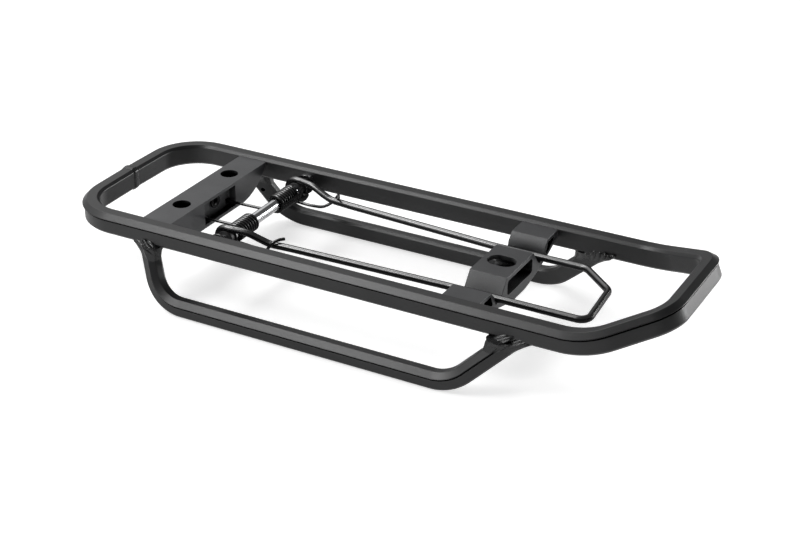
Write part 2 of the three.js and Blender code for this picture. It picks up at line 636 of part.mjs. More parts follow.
const rack = new THREE.Group();
rack.position.x = -MIDDLE_X;
const bow = new THREE.Group();       // everything that turns with the bow, about its own Y axis
bow.position.copy(AXLE);
rack.add(bow);

/** Puts one named piece into a group, at a place in it. */
function add(group, name, geometry, material, place = new THREE.Vector3()) {
  const mesh = new THREE.Mesh(geometry, material);
  mesh.name = name;
  mesh.position.copy(place);
  group.add(mesh);
}

/** A place on the axle's line at a distance along Y. */
const onAxle = (y) => new THREE.Vector3(AXLE_X, y, AXLE_Z);
const fromAxle = AXLE.clone().negate();
const axleLength = 2 * (RAIL_INNER - GAP);

add(rack, 'top_frame_tube', topFrameTube(), blackCoat());
add(rack, 'front_seam_weld', frontSeamWeld(), blackCoat());
add(rack, 'front_crossbeam', frontCrossbeam(), blackCoat());
add(rack, 'crossbeam_web', crossbeamWeb(), blackCoat());
add(rack, 'centre_insert', centreInsert(), blackGloss(), new THREE.Vector3(RECESS_X, 0, INSERT_Z));
add(rack, 'rear_bracket', rearBracket(), blackCoat());
add(rack, 'pivot_axle', rod(AXLE_RADIUS, axleLength, 32), bareSteel(), onAxle(0));
add(bow, 'spring_bow', springBow(), blackGloss(), fromAxle);
for (const [word, side] of [['right', 1], ['left', -1]]) {
  add(rack, `${word}_side_loop`, sideLoop(side), blackCoat());
  add(rack, `${word}_front_leg_weld`, legWeld(side, ...FRONT_WELD), blackCoat());
  add(rack, `${word}_rear_leg_weld`, legWeld(side, ...REAR_WELD), blackCoat());
  add(rack, `${word}_axle_nut`, axleNut(), bareSteel(), onAxle(side * NUT_GAUGE));
  add(rack, `${word}_axle_washer`, axleWasher(), blackGloss(), onAxle(side * WASHER_GAUGE));
  add(rack, `${word}_torsion_spring`, torsionSpring(side), blackGloss());
  add(bow, `${word}_bow_bush`, bowBush(), blackPolymer(), new THREE.Vector3(0, side * EYE_GAUGE, 0));
  add(bow, `${word}_spring_hook`, springHook(side), blackGloss(), fromAxle);
}

export default rack;
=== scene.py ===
"""Looks, camera and light for the rear rack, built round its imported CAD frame."""

import math
import random

import bmesh
import bpy
from mathutils import Matrix, Quaternion, Vector


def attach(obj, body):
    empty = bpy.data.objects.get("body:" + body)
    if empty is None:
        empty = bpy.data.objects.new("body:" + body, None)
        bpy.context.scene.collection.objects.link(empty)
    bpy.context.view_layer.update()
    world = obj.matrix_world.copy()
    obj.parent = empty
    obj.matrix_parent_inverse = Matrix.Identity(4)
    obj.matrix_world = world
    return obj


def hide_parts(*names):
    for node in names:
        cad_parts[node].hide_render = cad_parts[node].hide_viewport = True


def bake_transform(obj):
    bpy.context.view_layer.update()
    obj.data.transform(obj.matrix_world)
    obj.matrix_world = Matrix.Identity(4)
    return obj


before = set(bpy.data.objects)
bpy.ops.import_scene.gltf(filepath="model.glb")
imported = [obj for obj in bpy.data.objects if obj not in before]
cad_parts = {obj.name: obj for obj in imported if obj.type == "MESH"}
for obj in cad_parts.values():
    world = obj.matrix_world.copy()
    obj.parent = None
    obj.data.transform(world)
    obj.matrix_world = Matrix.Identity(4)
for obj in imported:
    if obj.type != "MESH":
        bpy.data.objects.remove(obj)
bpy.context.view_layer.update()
random.seed(7)

MM = 0.001
MIDDLE_X = 0.984                      # the layout below is in mm; its middle lies here along X
UP = Vector((0, 0, 1))

# ---------------------------------------------------------------- driving dimensions, mm
RAIL_TOP = 56.9
RAIL_GAUGE = 67.25
RAIL = dict(width=12.5, height=15.5, outer=3.5, inner=1.9, lip=1.2, foot=1.8)
RAIL_BOTTOM = RAIL_TOP - RAIL["height"]
RAIL_INNER = RAIL_GAUGE - RAIL["width"] / 2
GROOVE = 1.3                          # height of the groove under the chamfer of both tubes
FRONT_X, FRONT_CROWN, FRONT_RADIUS = -215, 1, 33
TAIL_BEND_X, TAIL_BEND_RADIUS, TAIL_BEND_RUN = 172.5, 44, 15
TAIL_X, TAIL_GAUGE, TAIL_RADIUS, TAIL_RISE = 215.5, 40, 22.4, 17.4

LOOP = dict(width=10.6, height=12.5, outer=3.6, inner=1.9, lip=1.0, foot=1.6)
LOOP_GAUGE, LOOP_FRONT_X, LOOP_REAR_X = 82.4, -132.5, 91
LEG_FRONT_X, LEG_REAR_X, LEG_GAUGE = -150, 128, 68
LOOP_FRONT_RADIUS, LOOP_REAR_RADIUS = 28, 30
VENT = Vector((-144, 73, 28))
VENT_RADIUS = 1.6

BEAM_FRONT_X, BEAM_REAR_X, BEAM_DROP, BEAM_DEPTH, BEAM_WALL = -159.1, -136, 1.9, 20.6, 2.4
BEAM_FLOOR_HALF, BEAM_FLOOR_BEND, BEAM_CELL_HALF = 24, 47, 51
BEAM_HOLE_X, BEAM_HOLE_GAUGE, BEAM_HOLE_RADIUS = -148, 30, 6.5
RECESS_X, RECESS_HALF, RECESS_FLOOR_HALF, WEB_THICKNESS, NOTCH = -141.3, 19.5, 17.6, 2, 4
INSERT_RADIUS, INSERT_BORE, INSERT_FLANGE, INSERT_Z = 4, 2.6, 5.2, RAIL_TOP - 9.8

BRACKET_FRONT_X, BRACKET_REAR_X, BRACKET_DROP = 73, 100, 1.9
BRACKET_TOP_HALF, TAB_INNER, VALLEY_FLOOR = 20.5, 44.4, -12.1
SLOT_LENGTH, SLOT_WIDTH = 20, 14.6

AXLE_X, AXLE_Z, AXLE_RADIUS, RUNNING_FIT = -99.5, RAIL_TOP - 10, 4.2, 0.06
NUT_HEIGHT, NUT_RADIUS, WASHER_HEIGHT, WASHER_RADIUS, FLANGE_RADIUS = 4, 6.9, 1.4, 7.4, 6.2
BOW_WIRE, BOW_GAUGE, EYE_GAUGE, EYE_RADIUS = 5, 33.5, 45.5, 7.5
SPRING_WIRE, COIL_RADIUS, COIL_INNER, COIL_OUTER = 2.2, 5.8, 16, 37.7
COIL_TURNS, FRONT_LEG_Z = 8, RAIL_TOP - 16.4


# ---------------------------------------------------------------- materials
class Nodes:
    """A node material with a few shorthands."""

    def __init__(self, name):
        self.material = bpy.data.materials.new(name)
        self.material.use_nodes = True
        self.tree = self.material.node_tree
        self.tree.nodes.clear()
        self.out = self.tree.nodes.new("ShaderNodeOutputMaterial")
        self.shader = self.tree.nodes.new("ShaderNodeBsdfPrincipled")
        self.link(self.shader.outputs[0], self.out.inputs[0])
        self.place = self.tree.nodes.new("ShaderNodeTexCoord").outputs["Object"]

    def link(self, a, b):
        self.tree.links.new(a, b)

    def set(self, **values):
        for key, value in values.items():
            self.shader.inputs[key.replace("_", " ")].default_value = value

    def noise(self, size_mm, detail=2.0, stretch=(1, 1, 1)):
        """Noise whose features are about size_mm across; stretch is per axis."""
        spread = self.tree.nodes.new("ShaderNodeVectorMath")
        spread.operation = "MULTIPLY"
        spread.inputs[1].default_value = stretch
        self.link(self.place, spread.inputs[0])
        n = self.tree.nodes.new("ShaderNodeTexNoise")
        n.inputs["Scale"].default_value = 1 / (size_mm * MM)
        n.inputs["Detail"].default_value = detail
        self.link(spread.outputs[0], n.inputs["Vector"])
        return n.outputs["Fac"]

    def openness(self, reach_mm):
        """1 on open faces, falling towards 0 in pockets and corners narrower than the reach."""
        n = self.tree.nodes.new("ShaderNodeAmbientOcclusion")
        n.samples = 8
        n.only_local = True
        n.inputs["Distance"].default_value = reach_mm * MM
        return n.outputs["AO"]

    def ramp(self, source, low, high, start=0.3, end=0.7):
        r = self.tree.nodes.new("ShaderNodeMapRange")
        r.inputs["From Min"].default_value = start
        r.inputs["From Max"].default_value = end
        r.inputs["To Min"].default_value = low
        r.inputs["To Max"].default_value = high
        self.link(source, r.inputs["Value"])
        return r.outputs[0]

    def mix(self, source, a, b):
        """A colour between a and b, each a colour or a socket."""
        m = self.tree.nodes.new("ShaderNodeMix")
        m.data_type = "RGBA"
        for key, colour in (("A", a), ("B", b)):
            if isinstance(colour, bpy.types.NodeSocket):
                self.link(colour, m.inputs[key])
            else:
                m.inputs[key].default_value = (*colour, 1)
        self.link(source, m.inputs["Factor"])
        return m.outputs["Result"]

    def tint(self, source, dark, light, painted_shade=None):
        """Base colour between dark and light, painted black where the painted-shade mask is 0."""
        colour = self.mix(source, dark, light)
        if painted_shade is not None:
            colour = self.mix(painted_shade, (0, 0, 0), colour)
        self.link(colour, self.shader.inputs["Base Color"])

    def bump(self, layers):
        """layers: (height source, depth in mm); chained into the shader's normal."""
        normal = None
        for source, depth in layers:
            b = self.tree.nodes.new("ShaderNodeBump")
            b.inputs["Strength"].default_value = 1
            b.inputs["Distance"].default_value = depth * MM
            self.link(source, b.inputs["Height"])
            if normal is not None:
                self.link(normal, b.inputs["Normal"])
            normal = b.outputs[0]
        self.link(normal, self.shader.inputs["Normal"])


def powder_coat(name, gloss=0.0, lift=1.0):
    """Satin black powder coat: a fine grain over a soft orange peel, with painted shade in its pockets and corners."""
    m = Nodes(name)
    cloud = m.noise(35, 3)
    grain = m.noise(0.45, 2)
    peel = m.noise(1.6, 1)
    # random tone from the cloud noise; the openness mask paints the colour black in pockets and corners as painted
    # shade
    m.tint(m.ramp(cloud, 0, 1), [lift * c for c in (0.008, 0.0082, 0.0087)], [lift * c for c in (0.014, 0.0142, 0.0149)],
           m.ramp(m.openness(30), 0, 1, 0.4, 0.9))
    m.link(m.ramp(grain, 0.29 - gloss, 0.39 - gloss), m.shader.inputs["Roughness"])
    # reflections painted out in pockets and corners: painted shade
    m.link(m.ramp(m.openness(30), 0.0, 0.57, 0.38, 0.85), m.shader.inputs["Specular IOR Level"])
    m.bump([(peel, 0.030), (grain, 0.022)])
    return m.material


def gloss_black(name):
    """Gloss black coated wire with faint flow marks, a painted highlight where its reflection points upward, and
    painted shade in tight corners.
    """
    m = Nodes(name)
    flow = m.noise(9, 2, (0.25, 1, 1))
    peel = m.noise(0.9, 1)
    m.tint(m.ramp(flow, 0, 1), (0.003, 0.003, 0.0035), (0.006, 0.006, 0.007))
    m.link(m.ramp(flow, 0.24, 0.3), m.shader.inputs["Roughness"])
    # painted highlight: reflection strength rises as the reflected ray points upward, and is painted out in tight
    # corners as painted shade
    split = m.tree.nodes.new("ShaderNodeSeparateXYZ")
    m.link(m.tree.nodes.new("ShaderNodeTexCoord").outputs["Reflection"], split.inputs[0])
    painted_sheen = m.tree.nodes.new("ShaderNodeMath")
    painted_sheen.operation = "MULTIPLY"
    m.link(m.ramp(split.outputs["Z"], 0.03, 0.36, 0.2, 0.8), painted_sheen.inputs[0])
    m.link(m.ramp(m.openness(6), 0.0, 1.0, 0.3, 0.8), painted_sheen.inputs[1])
    m.link(painted_sheen.outputs[0], m.shader.inputs["Specular IOR Level"])
    m.set(IOR=2.8)
    m.bump([(peel, 0.003)])
    return m.material


def bare_steel(name, stretch=(1, 0.06, 1), bright=0.75, rough=0.2, depth=0.012):
    """Zinc plated steel with fine turning marks and a slightly cloudy plating."""
    m = Nodes(name)
    marks = m.noise(0.25, 3, stretch)
    cloud = m.noise(6, 3)
    m.tint(m.ramp(cloud, 0, 1), [bright * c for c in (0.70, 0.71, 0.73)], [bright * c for c in (0.98, 0.98, 0.99)])
    m.link(m.ramp(marks, rough, rough + 0.12), m.shader.inputs["Roughness"])
    m.set(Metallic=1.0)
    m.bump([(marks, depth)])
    return m.material


def polymer(name):
    m = Nodes(name)
    grain = m.noise(0.35, 2)
    m.tint(m.ramp(m.noise(8, 2), 0, 1), (0.012, 0.012, 0.013), (0.022, 0.022, 0.023))
    m.link(m.ramp(grain, 0.45, 0.6), m.shader.inputs["Roughness"])
    m.bump([(grain, 0.015)])
    return m.material


COAT = powder_coat("powder_coat")
WELD = powder_coat("powder_coat_on_weld", 0.08)
PLATE = powder_coat("powder_coat_on_plate", 0.0, 4.2)
BEAM = powder_coat("powder_coat_on_beam", 0.0, 5.4)
WIRE = gloss_black("black_wire")
STEEL = bare_steel("turned_steel", bright=1.0, rough=0.1, depth=0.001)
PLATED = bare_steel("plated_steel", (1, 1, 1), bright=1.0, rough=0.16, depth=0.006)
POLYMER = polymer("bush_polymer")


# ---------------------------------------------------------------- meshes
def new_object(name, verts, faces):
    """A mesh object from layout points in mm, placed in the row frame in metres."""
    mesh = bpy.data.meshes.new(name)
    mesh.from_pydata([((v[0] - MIDDLE_X) * MM, v[1] * MM, v[2] * MM) for v in verts], [], faces)
    bm = bmesh.new()
    bm.from_mesh(mesh)
    bmesh.ops.recalc_face_normals(bm, faces=bm.faces)
    bm.to_mesh(mesh)
    bm.free()
    obj = bpy.data.objects.new(name, mesh)
    bpy.context.scene.collection.objects.link(obj)
    return obj


def bake(obj):
    """Turns an object's modifiers into its mesh."""
    graph = bpy.context.evaluated_depsgraph_get()
    mesh = bpy.data.meshes.new_from_object(obj.evaluated_get(graph))
    obj.modifiers.clear()
    obj.data = mesh


def combine(obj, tool, operation="DIFFERENCE"):
    """Cuts a tool out of an object, or joins or intersects them, and removes the tool."""
    mod = obj.modifiers.new("combine", "BOOLEAN")
    mod.object = tool
    mod.operation = operation
    mod.solver = "EXACT"
    bake(obj)
    bpy.data.objects.remove(tool)
    return obj


def soften(obj, width, segments=3, angle=28):
    """Rounds the sharp edges of a solid."""
    mod = obj.modifiers.new("soften", "BEVEL")
    mod.width = width * MM
    mod.segments = segments
    mod.limit_method = "ANGLE"
    mod.angle_limit = math.radians(angle)
    mod.use_clamp_overlap = True
    bake(obj)
    return obj


def piece(obj, material, body, slot, *nodes, weighted=True):
    """Finishes a piece: smooth shading, its material, and what it stands for and rides on."""
    for polygon in obj.data.polygons:
        polygon.use_smooth = True
    obj.data.set_sharp_from_angle(angle=math.radians(50))
    obj.data.materials.clear()
    obj.data.materials.append(material)
    if weighted:
        mod = obj.modifiers.new("weighted", "WEIGHTED_NORMAL")
        mod.keep_sharp = True
        bake(obj)
    if nodes:
        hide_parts(*nodes)
    if body:
        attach(obj, body)
    return obj


# ---------------------------------------------------------------- shape helpers
def filleted(points, radii, steps=4):
    """A closed outline with each corner rounded by its radius."""
    out = []
    count = len(points)
    for i, p in enumerate(points):
        p = Vector(p)
        back, ahead = Vector(points[i - 1]) - p, Vector(points[(i + 1) % count]) - p
        radius = radii[i] if isinstance(radii, (list, tuple)) else radii
        half = back.angle(ahead) / 2
        reach = min(radius / math.tan(half), 0.45 * back.length, 0.45 * ahead.length)
        if reach < 0.02:
            out.append(p)
            continue
        a, b = p + back.normalized() * reach, p + ahead.normalized() * reach
        r = reach * math.tan(half)
        centre = p + (back.normalized() + ahead.normalized()).normalized() * (r / math.sin(half))
        start, end = (a - centre).normalized(), (b - centre).normalized()
        for k in range(steps + 1):
            out.append(centre + start.slerp(end, k / steps) * r)
    return out


def grown(points, distance):
    """A closed outline moved outward by a distance."""
    area = sum(points[i - 1][0] * p[1] - p[0] * points[i - 1][1] for i, p in enumerate(points))
    sign = 1 if area > 0 else -1
    out = []
    for i, p in enumerate(points):
        a = (Vector(p) - Vector(points[i - 1])).normalized()
        b = (Vector(points[(i + 1) % len(points)]) - Vector(p)).normalized()
        na, nb = Vector((a.y, -a.x)) * sign, Vector((b.y, -b.x)) * sign
        n = (na + nb).normalized()
        out.append(Vector(p) + n * (distance / max(n.dot(na), 0.5)))
    return out


def tube_outline(width, height, outer, inner, lip, foot, rise=0.0):
    """The grooved tube's outline: x points away from the rack, the top flat is at y = rise."""
    side = width / 2
    face = side - lip
    points = [
        (side - outer, 0), (inner - side, 0), (-side, -inner), (-side, foot - height),
        (foot - side, -height), (face - foot, -height), (face, foot - height),
        (face, -outer - GROOVE - 0.5), (face - 0.9, -outer - GROOVE - 0.2), (face - 0.9, -outer - 0.6),
        (side, -outer - 0.4), (side, -outer),
    ]
    radii = [0.7, 0.8, 0.8, 0.9, 0.9, 0.9, 0.9, 0.3, 0.2, 0.2, 0.2, 0.4]
    return [Vector((x, y + rise)) for x, y in filleted(points, radii)]


def circle(radius, sides):
    return [Vector((radius * math.cos(2 * math.pi * k / sides), radius * math.sin(2 * math.pi * k / sides)))
            for k in range(sides)]


def rounded_route(corners, radii, step=2.5):
    """A route through corners, each rounded by an arc, with a point every step degrees."""
    route = [corners[0].copy()]
    for i in range(1, len(corners) - 1):
        corner = corners[i]
        back, ahead = (corners[i - 1] - corner).normalized(), (corners[i + 1] - corner).normalized()
        turn = math.pi - back.angle(ahead)
        run = radii[i - 1] * math.tan(turn / 2)
        centre = corner + (back + ahead).normalized() * (radii[i - 1] / math.cos(turn / 2))
        start = corner + back * run - centre
        axis = start.cross(corner + ahead * run - centre).normalized()
        steps = max(3, math.ceil(math.degrees(turn) / step))
        for k in range(steps + 1):
            route.append(centre + Quaternion(axis, turn * k / steps) @ start)
    route.append(corners[-1].copy())
    return route


def tangents_of(points, closed=False):
    out = []
    last = len(points) - 1
    for i, p in enumerate(points):
        before = points[i - 1] if i > 0 or closed else p
        after = points[(i + 1) % len(points)] if i < last or closed else p
        a, b = p - before, after - p
        a = a.normalized() if a.length > 1e-9 else Vector((0, 0, 0))
        b = b.normalized() if b.length > 1e-9 else Vector((0, 0, 0))
        out.append((a + b).normalized())
    return out


def carried_ups(points, start_index, start_up):
    """Up directions that turn with the route and never twist about it."""
    tangents = tangents_of(points)
    ups = [None] * len(points)
    ups[start_index] = start_up.copy()
    for step in (1, -1):
        i = start_index + step
        while 0 <= i < len(points):
            ups[i] = tangents[i - step].rotation_difference(tangents[i]) @ ups[i - step]
            i += step
    return ups


def rings_along(outline, points, ups, closed=False):
    """One ring of points per route point; outline may be a function of the route index."""
    rings = []
    for i, (p, t, up) in enumerate(zip(points, tangents_of(points, closed), ups)):
        b = (up - t * up.dot(t)).normalized()
        n = b.cross(t)
        flat = outline(i) if callable(outline) else outline
        rings.append([p + n * q[0] + b * q[1] for q in flat])
    return rings


def skin(name, rings, closed=False):
    """A closed surface through rings, capped at both ends unless it closes on itself."""
    size = len(rings[0])
    verts = [v for ring in rings for v in ring]
    faces = []
    spans = len(rings) if closed else len(rings) - 1
    for i in range(spans):
        a, b = i * size, ((i + 1) % len(rings)) * size
        for k in range(size):
            n = (k + 1) % size
            faces.append((a + k, a + n, b + n, b + k))
    if not closed:
        faces.append(tuple(range(size)))
        faces.append(tuple(range((len(rings) - 1) * size, len(rings) * size)))
    return new_object(name, verts, faces)


def wire_rings(points, diameter, sides):
    """Rings of a round wire with softened ends."""
    first = tangents_of(points)[0]
    start = UP if abs(first.z) < 0.9 else Vector((1, 0, 0))
    start = (start - first * start.dot(first)).normalized()
    rings = rings_along(circle(diameter / 2, sides), points, carried_ups(points, 0, start))
    for end, inside in ((0, 1), (-1, -2)):
        middle = sum(rings[end], Vector()) / sides
        inward = (sum(rings[inside], Vector()) / sides - middle).normalized()
        rim = rings[end]
        low = [middle + (v - middle) * 0.72 for v in rim]
        mid = [middle + (v - middle) * 0.93 + inward * diameter * 0.05 for v in rim]
        full = [v + inward * diameter * 0.16 for v in rim]
        rings[end] = full
        if end == 0:
            rings[0:0] = [low, mid]
        else:
            rings.extend([mid, low])
    return rings


def prism(name, outline, from_x, to_x):
    """An outline in the lateral plane (across, up) drawn out along X."""
    count = len(outline)
    verts = [(x, p[0], p[1]) for x in (from_x, to_x) for p in outline]
    faces = [tuple(range(count)), tuple(range(count, 2 * count))]
    faces += [(k, (k + 1) % count, count + (k + 1) % count, count + k) for k in range(count)]
    return new_object(name, verts, faces)


def upright(name, outline, from_z, to_z):
    """An outline in plan (x, y) drawn out along Z."""
    count = len(outline)
    verts = [(p[0], p[1], z) for z in (from_z, to_z) for p in outline]
    faces = [tuple(range(count)), tuple(range(count, 2 * count))]
    faces += [(k, (k + 1) % count, count + (k + 1) % count, count + k) for k in range(count)]
    return new_object(name, verts, faces)


def turned(name, profile, centre, sides=48, axis="Y", closed=True):
    """A profile of (radius, distance) turned about a line through centre."""
    verts = []
    for r, d in profile:
        for k in range(sides):
            a = 2 * math.pi * k / sides
            c, s = r * math.cos(a), r * math.sin(a)
            verts.append(Vector((c, d, s) if axis == "Y" else (d, c, s)) + Vector(centre))
    count = len(profile)
    faces = []
    for i in range(count if closed else count - 1):
        a, b = i * sides, ((i + 1) % count) * sides
        faces += [(a + k, a + (k + 1) % sides, b + (k + 1) % sides, b + k) for k in range(sides)]
    if not closed:
        faces += [tuple(range(sides)), tuple(range((count - 1) * sides, count * sides))]
    return new_object(name, verts, faces)


def bezier(a, b, c, pieces):
    """Points on a quadratic curve in a plane."""
    a, b, c = Vector(a), Vector(b), Vector(c)
    return [a * (1 - t) ** 2 + b * 2 * t * (1 - t) + c * t * t for t in (k / pieces for k in range(pieces + 1))]


def mirrored(half):
    return list(half) + [Vector((-p[0], p[1])) for p in reversed(half)]


def smooth(points, pieces):
    """Points on a centripetal curve through the given ones."""
    p = [Vector(q) for q in points]
    p = [p[0] * 2 - p[1]] + p + [p[-1] * 2 - p[-2]]
    out = []
    for i in range(1, len(p) - 2):
        t = [0]
        for a, b in zip(p[i - 1:i + 2], p[i:i + 3]):
            t.append(t[-1] + math.sqrt((b - a).length))
        for k in range(pieces):
            u = t[1] + (t[2] - t[1]) * k / pieces
            a1 = p[i - 1].lerp(p[i], (u - t[0]) / (t[1] - t[0]))
            a2 = p[i].lerp(p[i + 1], (u - t[1]) / (t[2] - t[1]))
            a3 = p[i + 1].lerp(p[i + 2], (u - t[2]) / (t[3] - t[2]))
            b1 = a1.lerp(a2, (u - t[0]) / (t[2] - t[0]))
            b2 = a2.lerp(a3, (u - t[1]) / (t[3] - t[1]))
            out.append(b1.lerp(b2, (u - t[1]) / (t[2] - t[1])))
    out.append(p[-2].copy())
    return out


# ---------------------------------------------------------------- tube frame
def frame_up(x):
    t = min(1, max(0, (x - TAIL_BEND_X + TAIL_BEND_RUN) / (2 * TAIL_BEND_RUN)))
    angle = math.atan2(TAIL_RISE, TAIL_X - TAIL_BEND_X) * t * t * (3 - 2 * t)
    return Vector((-math.sin(angle), 0, math.cos(angle)))


def top_frame():
    middle = FRONT_X - FRONT_CROWN
    half = [(middle, 0, 0), (FRONT_X, RAIL_GAUGE, 0), (TAIL_BEND_X, RAIL_GAUGE, 0), (TAIL_X, TAIL_GAUGE, TAIL_RISE)]
    corners = half + [(x, -y, z) for x, y, z in reversed(half)]
    corners = [Vector((x, y, RAIL_TOP + z)) for x, y, z in corners]
    radii = [FRONT_RADIUS, TAIL_BEND_RADIUS, TAIL_RADIUS]
    points = rounded_route(corners, radii + radii[::-1])[:-1]
    rings = rings_along(tube_outline(**RAIL), points, [frame_up(p.x) for p in points], closed=True)
    piece(skin("top_frame", rings, closed=True), COAT, "rack", "powder_coat", "top_frame_tube")


def seam_weld():
    """The dressed butt weld in the middle of the front run."""
    outline = tube_outline(**RAIL)
    half, steps = 3.1, 30
    rings = []
    for k in range(steps + 1):
        y = half * (2 * k / steps - 1)
        lift = 0.95 * math.sqrt(max(0, 1 - (y / half) ** 2)) - 0.15
        ring = []
        for i, q in enumerate(grown(outline, lift)):
            wave = 0.16 * math.sin(1.9 * y + 2.4 * math.sin(i * 0.35)) * (1 if lift > 0.1 else 0)
            ring.append(Vector((FRONT_X - FRONT_CROWN - q[0] * (1 + wave * 0.05), y, RAIL_TOP + q[1] + wave * 0.3)))
        rings.append(ring)
    piece(skin("seam_weld", rings), WELD, "rack", "powder_coat", "front_seam_weld")


def loop_route(side):
    bar_z = LOOP["height"] / 2
    corners = [
        Vector((LEG_FRONT_X, side * LEG_GAUGE, RAIL_BOTTOM)), Vector((LOOP_FRONT_X, side * LOOP_GAUGE, bar_z)),
        Vector((LOOP_REAR_X, side * LOOP_GAUGE, bar_z)), Vector((LEG_REAR_X, side * LEG_GAUGE, RAIL_BOTTOM)),
    ]
    radii = [LOOP_FRONT_RADIUS, LOOP_REAR_RADIUS]
    if side < 0:
        corners.reverse()
        radii.reverse()
    points = rounded_route(corners, radii)
    bar = next(i for i in range(len(points) - 1) if (points[i + 1] - points[i]).length > 100)
    return points, carried_ups(points, bar, UP)


def slid_to(ring, direction, height):
    """Slides each point of a ring along a direction to a height."""
    return [v + direction * ((height - v.z) / direction.z) for v in ring]


def resampled(ring, count):
    """A closed ring of points as count points at equal spacing."""
    closed = ring + [ring[0]]
    lengths = [0]
    for a, b in zip(closed, closed[1:]):
        lengths.append(lengths[-1] + (b - a).length)
    out, k = [], 0
    for i in range(count):
        s = lengths[-1] * i / count
        while lengths[k + 1] < s:
            k += 1
        out.append(closed[k].lerp(closed[k + 1], (s - lengths[k]) / (lengths[k + 1] - lengths[k])))
    return out, lengths[-1]


def leg_weld(name, ring, direction, node):
    """A rippled weld that flares from a leg out to the rail and runs up onto the rail's face."""
    around, top, bottom, levels = 220, 4.6, -9.5, 28
    path, length = resampled(ring, around)
    for _ in range(6):
        path = [(path[i - 1] + path[i] * 2 + path[(i + 1) % around]) / 4 for i in range(around)]
    centre = sum(path, Vector()) / around
    lobes = round(length / 3.4)
    uneven = [random.uniform(-1, 1) for _ in range(lobes)]
    rings = []
    for level in range(levels + 1):
        h = top + (bottom - top) * level / levels
        row = []
        for i, p in enumerate(path):
            out = p - centre
            out.z = 0
            out.normalize()
            phase = lobes * i / around + 0.2 * h
            lobe = abs(math.sin(math.pi * phase)) ** 0.6
            size = uneven[int(phase) % lobes]
            flare = 3.2 * abs(out.x) ** 1.5 + 0.9
            fill = 0.75 * max(0, -out.dot(direction)) / direction.z * -bottom
            full = (flare ** 4 + fill ** 4) ** 0.25
            if h > 0:
                height = h * (0.72 + 0.28 * lobe + 0.1 * size)
                spread = min(flare, full) * math.sqrt(max(0, 1 - (h / top) ** 2.5)) - 0.5 * (h / top) ** 4
            else:
                height = h
                t = 1 - h / bottom
                spread = ((flare * t ** 1.8) ** 4 + (fill * t) ** 4) ** 0.25 - 0.25 * (1 - t)
            ripple = 0.8 * (lobe - 0.6) * max(0, min(1, 1 + (h + 0.5) / 5)) * (1 if h < top - 0.1 else 0)
            at = p + direction * (height / direction.z)
            row.append(at + out * (spread + ripple * (1 + 0.25 * size)))
        rings.append(row)
    piece(skin(name, rings), WELD, "rack", "powder_coat", node)


def side_loop(side):
    word = "right" if side > 0 else "left"
    points, ups = loop_route(side)
    outline = tube_outline(**LOOP, rise=LOOP["height"] / 2)
    rings = rings_along(outline, points, ups)
    sink = RAIL_BOTTOM + 0.9
    legs = {}
    for end, inside in ((0, 1), (-1, -2)):
        direction = (points[end] - points[inside]).normalized()
        legs["front" if points[end].x < 0 else "rear"] = (slid_to(rings[inside], direction, RAIL_BOTTOM), direction)
        rings[end] = slid_to(rings[inside], direction, sink)
    tube = skin(f"{word}_loop", rings)
    vent = Vector((VENT.x, side * (VENT.y - LOOP["width"] / 2), VENT.z))
    combine(tube, turned("drill", [(VENT_RADIUS, -6), (VENT_RADIUS, 2.6)] if side > 0 else
                         [(VENT_RADIUS, -2.6), (VENT_RADIUS, 6)], vent, 24, closed=False))
    piece(tube, COAT, "rack", "powder_coat", f"{word}_side_loop")
    for place, (ring, direction) in legs.items():
        leg_weld(f"{word}_{place}_weld", ring, direction, f"{word}_{place}_leg_weld")


# ---------------------------------------------------------------- crossbeam and bracket
def raised(points, height):
    return [Vector((p[0], p[1] + height)) for p in points]


def beam_outline(inset):
    end = BEAM_CELL_HALF if inset else RAIL_INNER + 0.05
    tip = (end, -inset - 0.3 if inset else -1.6)
    bottom = inset - BEAM_DEPTH
    right = bezier((BEAM_FLOOR_HALF - inset / 2, bottom), (BEAM_FLOOR_BEND - 2 * inset, bottom), tip, 18)
    right.append(Vector((end - (1 if inset else 0), -inset)))
    return raised(mirrored(right), RAIL_TOP - BEAM_DROP)


def crossbeam():
    """Beam and web as one casting: level at the rear beside the rails, set back in the middle."""
    base = RAIL_TOP - BEAM_DROP
    beam = prism("crossbeam", beam_outline(0), BEAM_FRONT_X, BEAM_REAR_X)
    back = RECESS_X - WEB_THICKNESS
    combine(beam, prism("cell", beam_outline(BEAM_WALL), BEAM_FRONT_X + BEAM_WALL, back))
    half = [(back, RECESS_FLOOR_HALF + 1), (RECESS_X, RECESS_FLOOR_HALF), (BEAM_REAR_X, RECESS_HALF), (BEAM_REAR_X + 5, RECESS_HALF)]
    half = half[1:]
    plan = filleted([Vector(p) for p in half] + [Vector((x, -y)) for x, y in reversed(half)], [2.2, 1.2, 0, 0, 1.2, 2.2])
    recess = upright("recess", plan, RAIL_TOP - BEAM_DROP - BEAM_DEPTH + BEAM_WALL, base - BEAM_WALL)
    combine(beam, recess)
    for side in (1, -1):
        ring = circle(BEAM_HOLE_RADIUS, 56)
        hole = [Vector((BEAM_HOLE_X, side * BEAM_HOLE_GAUGE)) + q for q in ring]
        combine(beam, upright("drill", hole, base - 2 * BEAM_WALL, base + 2))
        y, z, w = side * COIL_INNER, FRONT_LEG_Z, NOTCH / 2
        notch = [(y - w, z - w), (y + w, z - w), (y + w, z + w), (y - w, z + w)]
        combine(beam, prism("notch", notch, back - 2, RECESS_X + 1))
    bore = turned("bore", [(INSERT_RADIUS + 0.1, -8), (INSERT_RADIUS + 0.1, 2)], (RECESS_X, 0, INSERT_Z), 40, "X", closed=False)
    combine(beam, bore)
    soften(beam, 0.45)
    piece(beam, BEAM, "rack", "powder_coat", "front_crossbeam", "crossbeam_web")


